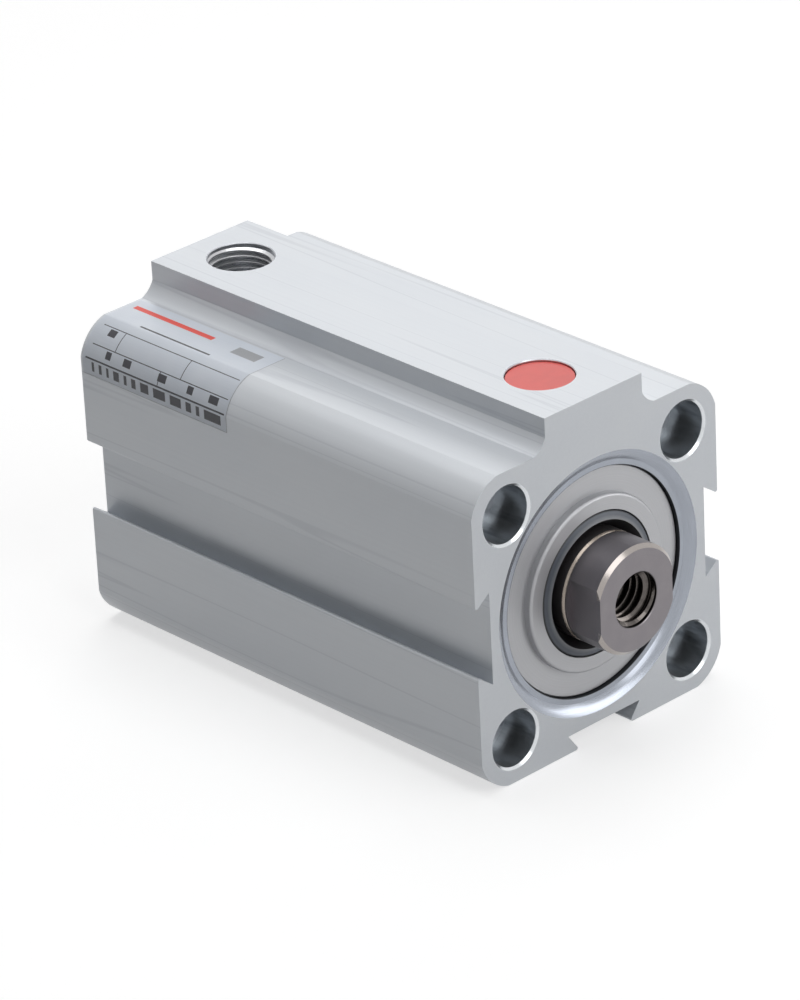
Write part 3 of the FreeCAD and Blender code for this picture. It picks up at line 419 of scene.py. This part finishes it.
def label_foil():
    """Pale bluish polyester foil with a fine brushed grain."""
    finish = Finish("label_foil", tone(214, 220, 229), 0.4, 0.05)
    brushed = finish.grain(0.08 * MM, 3.0, (1.0, 60.0, 1.0))
    cloud = finish.grain(5.0 * MM, 3.0)
    finish.tint(finish.spread(brushed, *MIDDLE), tone(205, 212, 222), 0.5)
    finish.tint(finish.spread(cloud, 0.4, 0.8), tone(222, 227, 234), 0.5)
    finish.roughen(brushed, 0.14).emboss(brushed, 0.003 * MM, 0.3)
    return finish.done()


def ink(name, colour):
    """Printing ink on the foil: slightly uneven in tone, and duller than what it lies on."""
    finish = Finish(name, colour, 0.5)
    blotches = finish.grain(0.12 * MM, 3.0)
    finish.tint(finish.spread(blotches, 0.4, 0.8), scaled(colour, 1.25, 0.01), 0.5)
    finish.roughen(blotches, 0.2)
    return finish.done()


FINISHES = {
    "anodised_barrel": anodised_barrel(),
    "turned_cover": turned_cover(),
    "rod_steel": rod_steel(),
    "black_rubber": moulded("black_rubber", tone(42, 42, 44), 0.55, 0.1 * MM, tone(70, 70, 72)),
    "wiper_elastomer": wiper_rubber(),
    "seal_elastomer": moulded("seal_elastomer", tone(40, 62, 70), 0.45, 0.1 * MM, tone(72, 90, 96)),
    "bumper_elastomer": moulded("bumper_elastomer", tone(58, 60, 66), 0.5, 0.12 * MM, tone(86, 88, 92)),
    "guide_plastic": moulded("guide_plastic", tone(206, 201, 186), 0.4, 0.12 * MM, tone(150, 144, 128)),
    "red_plastic": moulded("red_plastic", tone(222, 70, 60), 0.42, 0.15 * MM, tone(240, 120, 105),
                           Coat_Weight=0.15, Coat_Roughness=0.25),
    "spring_wire": plain_metal("spring_wire", tone(120, 118, 116), 0.38, 0.1 * MM),
    "bronze_bush": plain_metal("bronze_bush", tone(176, 138, 92), 0.36, 0.08 * MM),
    "piston_alloy": plain_metal("piston_alloy", tone(196, 196, 198), 0.34, 0.1 * MM),
    "magnet": plain_metal("magnet", tone(92, 92, 94), 0.5, 0.12 * MM, 0.7),
    "screw_steel": plain_metal("screw_steel", tone(168, 170, 172), 0.3, 0.08 * MM),
}


def dress_nodes():
    """Gives each CAD node the finish that its material slot names."""
    for node in frame["nodes"].values():
        for material_slot in node.material_slots:
            material_slot.material = FINISHES[material_slot.material.name.split(".")[0]]


def new_piece(name, mesh_tool, body, slot, *finishes):
    """Turns a bmesh into a piece with those finishes, which rides on a body. The slot is not used."""
    mesh = bpy.data.meshes.new(name)
    bmesh.ops.recalc_face_normals(mesh_tool, faces=mesh_tool.faces)
    mesh_tool.to_mesh(mesh)
    mesh_tool.free()
    piece = bpy.data.objects.new(name, mesh)
    bpy.context.scene.collection.objects.link(piece)
    for finish in finishes:
        mesh.materials.append(finish)
    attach(piece, body)
    return piece


def add_thread(name, mount, pitch, body, slot, finish):
    """The ridge of an internal screw thread: it winds down the wall of a hole and fades at both ends."""
    inward = -Vector(mount["axis"])
    mouth = Vector(mount["pos_m"])
    wall = mount["dims"]["r_mm"] * MM
    depth = RIDGE_DEPTH * pitch
    start = 0.45 * pitch
    length = mount["dims"]["length_mm"] * MM - 2 * start
    side = inward.orthogonal().normalized()
    other = inward.cross(side)
    crest_half = pitch / 8
    root_half = crest_half + depth * math.tan(FLANK)
    count = int(length / pitch * TURN_STEPS)
    tool = bmesh.new()
    rows = []
    for step in range(count + 1):
        turn = step / TURN_STEPS * 2 * math.pi
        faded = min(1.0, step / TURN_STEPS * FADE, (count - step) / TURN_STEPS * FADE)
        height = depth * max(faded, 0.02)
        outward = side * math.cos(turn) + other * math.sin(turn)
        station = mouth + inward * (start + step / TURN_STEPS * pitch)
        section = [
            (wall + BURIED, -root_half),
            (wall - height, -crest_half),
            (wall - height, crest_half),
            (wall + BURIED, root_half),
        ]
        rows.append([tool.verts.new(station + outward * reach + inward * shift)
                     for reach, shift in section])
    for first, second in zip(rows, rows[1:]):
        for low, high in ((0, 1), (1, 2), (2, 3), (3, 0)):
            tool.faces.new((first[low], first[high], second[high], second[low]))
    tool.faces.new(rows[0])
    tool.faces.new(rows[-1])
    new_piece(name, tool, body, slot, finish)


def lobe_stations():
    """How far along the label's girth its flat top, its arc and its flat side each end."""
    flat = SLOPE_FOOT - (LOBE_CENTRE.x - LOBE_RADIUS * math.cos(LOBE_ARC_ANGLE))
    arc = LOBE_RADIUS * (2 * LOBE_ARC_ANGLE - math.pi / 2)
    return flat, flat + arc, flat + arc + LOBE_SIDE_TOP - LABEL_FOOT


def on_lobe(girth, lift):
    """The point of the lobe's outline at that distance from the slope's foot, lifted off the surface."""
    flat, arc, _ = lobe_stations()
    if girth <= flat:
        return Vector((SLOPE_FOOT - girth, 0.0, LOBE_TOP + lift))
    if girth >= arc:
        return Vector((BARREL_LOW.x - lift, 0.0, LOBE_SIDE_TOP - (girth - arc)))
    angle = math.pi - LOBE_ARC_ANGLE + (girth - flat) / LOBE_RADIUS
    reach = LOBE_RADIUS + lift
    return LOBE_CENTRE + Vector((math.cos(angle) * reach, 0.0, math.sin(angle) * reach))


def label_marks():
    """The label's generic print, as (first girth, last girth, first y, last y, ink), later over earlier."""
    flat, _, foot = lobe_stations()
    arc_start = math.pi - LOBE_ARC_ANGLE
    upper, middle, lower = (
        flat + (math.radians(degrees) - arc_start) * LOBE_RADIUS for degrees in RULE_ANGLES)
    marks = []
    front = BLOCKS_FRONT
    for width in BLOCK_WIDTHS:
        marks.append((lower + 0.55 * MM, lower + 2.0 * MM, front, front + width * MM, BLACK_INK))
        front += (width + BLOCK_SPACING) * MM
    boxes = ((upper, 73.6, 1.5), (middle, 72.6, 1.1), (middle, 68.4, 1.6), (middle, 61.0, 1.7),
             (middle, 55.4, 1.2), (middle, 50.2, 1.9))
    for rule, front, width in boxes:
        top = rule + BOX_INSET
        marks.append((top, top + BOX_HEIGHT, front * MM, (front + width) * MM, BLACK_INK))
    # Painted shade along the front edge and the foot of the foil, in the grey ink.
    marks.append((0.0, foot, LABEL_FRONT, LABEL_FRONT + EDGE, GREY_INK_AND_EDGE_SHADE))
    marks.append((foot - EDGE, foot, LABEL_FRONT, LABEL_REAR, GREY_INK_AND_EDGE_SHADE))
    # The red bar, a thin bar under it and a grey patch, in millimetres.
    patches = ((1.7, 2.65, 60.5, 77.0, RED_INK), (5.9, 6.25, 57.0, 71.5, BLACK_INK),
               (1.6, 3.6, 50.6, 55.6, GREY_INK_AND_EDGE_SHADE))
    for first, last, front, rear, ink_number in patches:
        marks.append((first * MM, last * MM, front * MM, rear * MM, ink_number))
    for rule, width, rear in ((upper, RULE, 76.9), (middle, RULE, 76.9), (lower, 1.8 * RULE, 77.6)):
        marks.append((rule, rule + width, RULES_FRONT, rear * MM, BLACK_INK))
    for first, last, front in ((upper, middle, 72.1), (upper, middle, 58.4), (middle, lower, 62.4)):
        marks.append((first, last, front * MM, front * MM + RULE, BLACK_INK))
    return marks


def add_label():
    """The foil label: a thin sheet over the lobe, with its print as strips of ink in the same sheet."""
    flat, arc, foot = lobe_stations()
    marks = label_marks()
    girths = {0.0, flat, arc, foot}
    lengths = {LABEL_FRONT, LABEL_REAR}
    for first, last, front, rear, _ in marks:
        girths.update((first, last))
        lengths.update((front, rear))
    girths.update(flat + (arc - flat) * step / ARC_STEPS for step in range(ARC_STEPS))
    girths = sorted(girths)
    lengths = sorted(lengths)
    tool = bmesh.new()
    rows = []
    for girth in girths:
        point = on_lobe(girth, FOIL)
        rows.append([tool.verts.new((point.x, length, point.z)) for length in lengths])
    for row, (low, high) in enumerate(zip(girths, girths[1:])):
        for column, (front, rear) in enumerate(zip(lengths, lengths[1:])):
            face = tool.faces.new((rows[row][column], rows[row][column + 1],
                                   rows[row + 1][column + 1], rows[row + 1][column]))
            middle_girth, middle_length = (low + high) / 2, (front + rear) / 2
            for first, last, start, end, ink_number in marks:
                if first < middle_girth < last and start < middle_length < end:
                    face.material_index = ink_number
    # The grey ink is print on its patch, and painted shade along the foil's front edge and foot.
    label = new_piece("foil_label", tool, "cylinder_body", "anodised_barrel", label_foil(),
                      ink("label_black_ink", tone(52, 52, 58)), ink("label_red_ink", tone(226, 84, 72)),
                      ink("label_grey_ink", tone(158, 160, 164)))
    for polygon in label.data.polygons:
        polygon.use_smooth = True


def add_softbox(name, place, size, power):
    """A square lamp that faces the part."""
    lamp = bpy.data.lights.new(name, "AREA")
    lamp.shape = "SQUARE"
    lamp.size = size
    lamp.energy = power
    softbox = bpy.data.objects.new(name, lamp)
    bpy.context.scene.collection.objects.link(softbox)
    softbox.location = Vector(place)
    softbox.rotation_euler = (CAMERA_TARGET - softbox.location).to_track_quat("-Z", "Y").to_euler()
    softbox.visible_camera = False


def seen_directly(tree):
    """1 for camera, glossy and transmission rays, and 0 for the rays that light the part."""
    path = tree.nodes.new("ShaderNodeLightPath")
    total = path.outputs["Is Camera Ray"]
    for name in ("Is Glossy Ray", "Is Transmission Ray"):
        larger = tree.nodes.new("ShaderNodeMath")
        larger.operation = "MAXIMUM"
        tree.links.new(total, larger.inputs[0])
        tree.links.new(path.outputs[name], larger.inputs[1])
        total = larger.outputs[0]
    return total


def add_world():
    """A white surround where it is seen, and an even pale light where it isn't."""
    world = bpy.data.worlds.new("studio")
    bpy.context.scene.world = world
    world.use_nodes = True
    tree = world.node_tree
    background = tree.nodes["Background"]
    background.inputs["Color"].default_value = (1.0, 1.0, 1.0, 1.0)
    strength = tree.nodes.new("ShaderNodeMapRange")
    strength.inputs["To Min"].default_value = AMBIENT
    strength.inputs["To Max"].default_value = 1.0
    tree.links.new(seen_directly(tree), strength.inputs["Value"])
    tree.links.new(strength.outputs[0], background.inputs["Strength"])


def add_floor():
    """A plain pale floor under the part, which keeps its shadow."""
    tool = bmesh.new()
    bmesh.ops.create_grid(tool, x_segments=1, y_segments=1, size=FLOOR_HALF)
    mesh = bpy.data.meshes.new("floor")
    tool.to_mesh(mesh)
    tool.free()
    floor = bpy.data.objects.new("floor", mesh)
    floor.location = (0.0, 0.0, BARREL_LOW.z - FLOOR_GAP)
    bpy.context.scene.collection.objects.link(floor)
    material = bpy.data.materials.new("pale_floor")
    material.use_nodes = True
    tree = material.node_tree
    shader = tree.nodes["Principled BSDF"]
    shader.inputs["Base Color"].default_value = (FLOOR_TONE, FLOOR_TONE, FLOOR_TONE, 1.0)
    shader.inputs["Roughness"].default_value = 0.9
    shader.inputs["Emission Color"].default_value = (1.0, 1.0, 1.0, 1.0)
    lift = tree.nodes.new("ShaderNodeMath")
    lift.operation = "MULTIPLY"
    lift.inputs[1].default_value = FLOOR_LIFT
    tree.links.new(seen_directly(tree), lift.inputs[0])
    tree.links.new(lift.outputs[0], shader.inputs["Emission Strength"])
    mesh.materials.append(material)


def add_camera():
    """A long lens from the front left, a little above."""
    camera_data = bpy.data.cameras.new("camera")
    camera_data.lens = CAMERA_LENS
    camera = bpy.data.objects.new("camera", camera_data)
    bpy.context.scene.collection.objects.link(camera)
    aim = (CAMERA_TARGET - CAMERA_PLACE).to_track_quat("-Z", "Y").to_matrix()
    lean = Matrix.Rotation(CAMERA_LEAN, 3, "Z")
    camera.matrix_world = Matrix.Translation(CAMERA_PLACE) @ (aim @ lean).to_4x4()
    bpy.context.scene.camera = camera


dress_nodes()
add_thread("rod_end_thread", MOUNTS["rod_end_thread"], ROD_PITCH, "rod_and_piston", "rod_steel",
           tapped_steel())
add_thread("rear_port_thread", MOUNTS["rear_port"], PORT_PITCH, "cylinder_body", "anodised_barrel",
           machined_bore())
add_label()
for lamp_name, (lamp_place, lamp_side, lamp_power) in SOFTBOXES.items():
    add_softbox(lamp_name, lamp_place, lamp_side, lamp_power)
add_world()
add_floor()
add_camera()
bpy.context.scene.view_settings.view_transform = "Standard"
